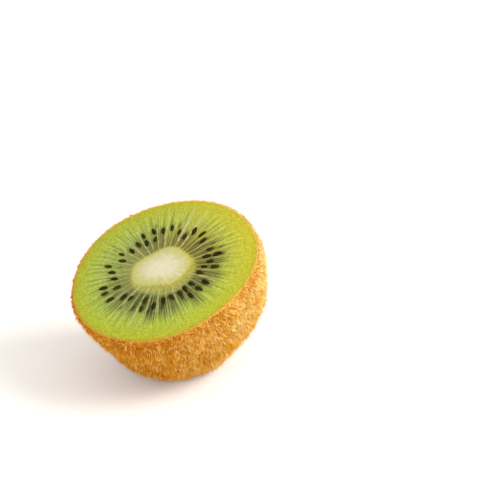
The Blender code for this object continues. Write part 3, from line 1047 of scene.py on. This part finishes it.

# %% [markdown]
# ## Peel: thin, dry, leathery skin
# Brown with darker patches some millimetres wide and a fine pebbled grain, drawn a little coarser than
# real. Most of it is hidden by the fuzz, and it shows as the darker ground between the hairs: its own brown,
# made a little darker as painted shade in the gaps. Its cut edge is golden brown, and paler towards the side
# that faces the key light, as the fuzz is: painted light.

# %% Peel material
leathery, tree = new_material("leathery_peel", {"Roughness": 0.8, "IOR": 1.45, "Specular IOR Level": 0.2})
where = node(tree, "TexCoord").outputs["Object"]
patches = node(tree, "TexNoise", {"Vector": where, "Scale": spots(6 * MM), "Detail": 5.0})
grain = node(tree, "TexVoronoi", {"Vector": where, "Scale": spots(0.6 * MM)})
# The ground's brown is its own colour made a little darker: painted shade between the hairs.
browns = {AMOUNT: patches.outputs["Fac"], UNDER: linear("94500F"), OVER: linear("C07A26")}
ground = node(tree, "Mix", browns, data_type="RGBA")
torn = node(tree, "TexNoise", {"Vector": where, "Scale": spots(1.1 * MM), "Detail": 3.0})
# The cut edge is painted lighter on the side that faces the key light: painted light.
pale = node(tree, "Attribute", attribute_name="pale")
edges = {AMOUNT: pale.outputs["Fac"]}
for socket, darker, lighter in [(UNDER, "8A5410", "C89438"), (OVER, "BC9A34", "E0C464")]:
    browns = {AMOUNT: torn.outputs["Fac"], UNDER: linear(darker), OVER: linear(lighter)}
    edges[socket] = node(tree, "Mix", browns, data_type="RGBA").outputs[MIXED]
cut_edge = node(tree, "Mix", edges, data_type="RGBA")
outer = node(tree, "Attribute", attribute_name="outer")
sides = {AMOUNT: outer.outputs["Fac"], UNDER: cut_edge.outputs[MIXED], OVER: ground.outputs[MIXED]}
edged = node(tree, "Mix", sides, data_type="RGBA")
bump = node(tree, "Bump", {"Height": grain.outputs["Distance"], "Strength": 0.5, "Distance": 0.15 * MM})
put_on([peel], leathery, edged.outputs[MIXED], bump)

# %% [markdown]
# ## Fuzz: dry plant hair
# Golden brown, darker at the root and lighter at the tip: painted shade where the hair is dense, and
# painted light where light passes through it. The mark called along runs from root to tip, and tone changes
# from hair to hair and from patch to patch. Tone is also painted lighter on the side that faces the key
# light, and darker near the cut away from it and low down: painted light and shade.

# %% Fuzz material
hair, tree = new_material("golden_fuzz", {"Roughness": 0.8, "IOR": 1.5, "Specular IOR Level": 0.1})
along = node(tree, "Attribute", attribute_name="along")
tone = node(tree, "Attribute", attribute_name="tone")
browns = {AMOUNT: tone.outputs["Fac"], UNDER: linear("8E4C04"), OVER: linear("E2A030")}
lower = node(tree, "Mix", browns, data_type="RGBA")
upper = node(tree, "ValToRGB", {"Fac": tone.outputs["Fac"]})
colour_stops(upper, [(0.0, "CE7800"), (0.3, "EC9A10"), (0.65, "FABE2C"), (1.0, "FFF0A8")])
# Root to tip: painted shade at the dense roots, and painted light at the tips.
root_to_tip = {AMOUNT: along.outputs["Fac"], UNDER: lower.outputs[MIXED], OVER: upper.outputs["Color"]}
shaded = node(tree, "Mix", root_to_tip, data_type="RGBA")
put_on(fuzz, hair, shaded.outputs[MIXED])

# %% [markdown]
# ## Tuft: dried flower parts
# Dead, papery plant tissue, dark brown and dull, greyer where it is worn.

# %% Tuft material
dried, tree = new_material("dried_flower_parts", {"Roughness": 0.85, "IOR": 1.45})
where = node(tree, "TexCoord").outputs["Object"]
wear = node(tree, "TexNoise", {"Vector": where, "Scale": spots(0.7 * MM), "Detail": 6.0})
browns = {AMOUNT: wear.outputs["Fac"], UNDER: linear("2A180B"), OVER: linear("6E4A2A")}
worn = node(tree, "Mix", browns, data_type="RGBA")
bump = node(tree, "Bump", {"Height": wear.outputs["Fac"], "Strength": 0.6, "Distance": 0.1 * MM})
put_on([tuft], dried, worn.outputs[MIXED], bump)

# %% [markdown]
# ## Putting the pieces on the fruit's body
# The fruit has no moving parts, so every piece rides on the one body. Each piece replaces the solid it
# stands for, which is hidden.

# %% Ride and replace
stands_for = [
    (flesh, "flesh", "flesh"),
    (seeds, "flesh", "seeds_and_tuft"),
    (core, "core", "core"),
    (peel, "skin", "skin"),
    (tuft, "blossom_tuft", "seeds_and_tuft"),
    *[(piece, "skin", "skin") for piece in fuzz],
]
for piece, solid, slot in stands_for:
    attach(piece, "root")
    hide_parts(solid)
print(len(stands_for), "pieces ride on the fruit")

# %% [markdown]
# ## Floor, light and camera
# The fruit lies on a plain white surface in very even light: a large soft light high on the right, a weaker
# one low in front, and a bright surround that fills the shadows. The camera looks down at about 28 degrees
# from a third of a metre away. It aims a little right of and above the fruit, so that the fruit sits where
# the photograph has it.

# %% Floor
FLOOR_HALF = 3.0
FLOOR_DROP = 0.05 * MM

floor_mesh = bpy.data.meshes.new("floor")
floor_corners = FLOOR_HALF * np.array([(-1, -1), (1, -1), (1, 1), (-1, 1)])
floor_mesh.from_pydata([(x, y, -FLOOR_DROP) for x, y in floor_corners], [], [(0, 1, 2, 3)])
floor = bpy.data.objects.new("floor", floor_mesh)
bpy.context.scene.collection.objects.link(floor)
card, tree = new_material("white_card", {"Roughness": 0.7, "Specular IOR Level": 0.2})
where = node(tree, "TexCoord").outputs["Object"]
tooth = node(tree, "TexNoise", {"Vector": where, "Scale": spots(25 * MM), "Detail": 2.0})
whites = {AMOUNT: tooth.outputs["Fac"], UNDER: linear("F5F0E9"), OVER: linear("F8F3ED")}
white = node(tree, "Mix", whites, data_type="RGBA")
put_on([floor], card, white.outputs[MIXED])
floor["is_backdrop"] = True

# %% Light
SURROUND_STRENGTH = 0.82
LIT_POINT = (0, 0, 0.02)

world = bpy.data.worlds.new("bright_surround")
bpy.context.scene.world = world
world.use_nodes = True
surround = world.node_tree.nodes["Background"]
surround.inputs["Color"].default_value = (1.0, 1.0, 1.0, 1.0)
surround.inputs["Strength"].default_value = SURROUND_STRENGTH


def soft_light(name, place, width, power):
    """A square area light that faces the fruit, with its width in metres and its power in watts."""
    data = bpy.data.lights.new(name, "AREA")
    data.size = width
    data.energy = power
    light = bpy.data.objects.new(name, data)
    light.location = place
    light.rotation_euler = (Vector(LIT_POINT) - Vector(place)).to_track_quat("-Z", "Y").to_euler()
    bpy.context.scene.collection.objects.link(light)
    print(f"{name} light: {power} W from {place}")


soft_light("key", place=(0.80, -0.10, 0.58), width=0.6, power=10.0)
soft_light("fill", place=(-0.15, -0.60, 0.20), width=0.5, power=3.6)
bpy.context.scene.view_settings.view_transform = "Standard"
bpy.context.scene.view_settings.look = "None"

# %% Camera
CAMERA_ELEVATION = math.radians(27.7)
CAMERA_DISTANCE = 340.0 * MM
LENS = 95.8
AIM_POINT = Vector((19.07, -0.42, 38.70)) * MM

camera_data = bpy.data.cameras.new("camera")
camera_data.lens = LENS
camera_data.sensor_width = 36.0
camera_data.clip_start = 0.01
camera = bpy.data.objects.new("camera", camera_data)
back = Vector((0, -math.cos(CAMERA_ELEVATION), math.sin(CAMERA_ELEVATION)))
camera.location = Vector(resting) + CAMERA_DISTANCE * back
camera.rotation_euler = (AIM_POINT - camera.location).to_track_quat("-Z", "Y").to_euler()
bpy.context.scene.collection.objects.link(camera)
bpy.context.scene.camera = camera
print("camera in mm:", (camera.location / MM).to_tuple(1))

# %% [markdown]
# ## Measuring the finished fruit
# The finished fruit is measured, and its box is printed beside the solids' box.

# %% Measure and finish
bpy.context.view_layer.update()
boxes = {"cad": [list(corner) for corner in cad_box], "visual": [list(corner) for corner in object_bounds()]}
for name, (low, high) in boxes.items():
    print(name, "box in mm:", [round((b - a) / MM, 1) for a, b in zip(low, high)])
